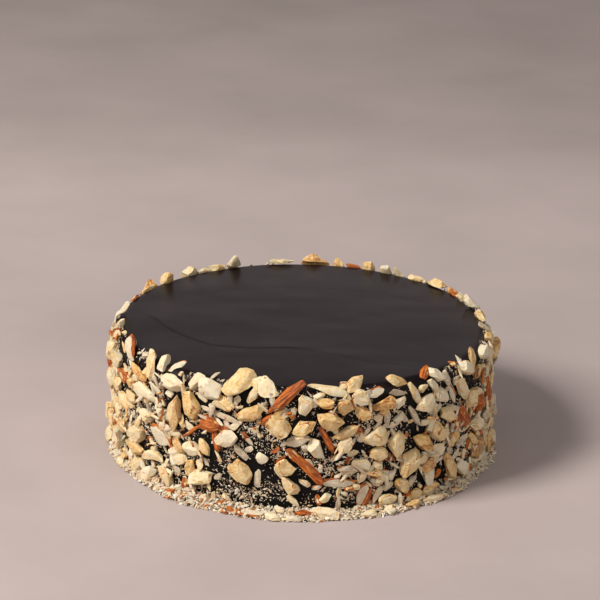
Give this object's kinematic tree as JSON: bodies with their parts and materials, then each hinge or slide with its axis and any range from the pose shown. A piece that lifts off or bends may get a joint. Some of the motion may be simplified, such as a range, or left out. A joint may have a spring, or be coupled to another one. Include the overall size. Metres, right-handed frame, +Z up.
{
  "type": "praline cake",
  "caption": "Round chocolate-glazed praline cake with a smooth dark top and a side coated in chopped cashews and almonds, standing on a flat base.",
  "frame": {"origin": "middle of the flat base, on the surface that the cake stands on", "axes": "+Z up, out of the smooth top; -Y towards the side that the picture shows; +X to its right"},
  "size_m": [0.1987, 0.2036, 0.0702],
  "materials": {
    "dark_glaze": "satin chocolate glaze",
    "cream_kernel": "matte nut kernel",
    "almond_skin": "matte brown almond skin"
  },
  "bodies": {
    "root": {"almond_01": "almond_skin", "almond_02": "almond_skin", "almond_03": "almond_skin", "almond_04": "almond_skin", "cake": "dark_glaze", "cashew_01": "cream_kernel", "cashew_02": "cream_kernel", "cashew_03": "cream_kernel", "cashew_04": "cream_kernel", "cashew_05": "cream_kernel", "cashew_06": "cream_kernel", "cashew_07": "cream_kernel", "cashew_08": "cream_kernel", "cashew_09": "cream_kernel", "cashew_10": "cream_kernel", "cashew_11": "cream_kernel", "cashew_12": "cream_kernel", "cashew_13": "cream_kernel", "cashew_14": "cream_kernel", "cashew_15": "cream_kernel", "cashew_16": "cream_kernel", "cashew_17": "cream_kernel", "cashew_18": "cream_kernel", "cashew_19": "cream_kernel", "cashew_20": "cream_kernel", "cashew_21": "cream_kernel", "cashew_22": "cream_kernel", "cashew_23": "cream_kernel", "cashew_24": "cream_kernel", "cashew_25": "cream_kernel", "cashew_26": "cream_kernel", "cashew_27": "cream_kernel", "cashew_28": "cream_kernel", "cashew_29": "cream_kernel", "cashew_30": "cream_kernel", "cashew_31": "cream_kernel", "cashew_32": "cream_kernel", "cashew_33": "cream_kernel", "cashew_34": "cream_kernel", "cashew_35": "cream_kernel", "cashew_36": "cream_kernel", "cashew_37": "cream_kernel", "slice_01": "cream_kernel", "slice_02": "cream_kernel", "slice_03": "cream_kernel", "slice_04": "cream_kernel", "slice_05": "cream_kernel", "slice_06": "cream_kernel", "sliver_01": "cream_kernel", "sliver_02": "cream_kernel", "sliver_03": "cream_kernel", "sliver_04": "cream_kernel", "sliver_05": "cream_kernel", "sliver_06": "cream_kernel", "sliver_07": "cream_kernel", "sliver_08": "cream_kernel", "sliver_09": "cream_kernel", "sliver_10": "cream_kernel"}
  },
  "joints": []
}
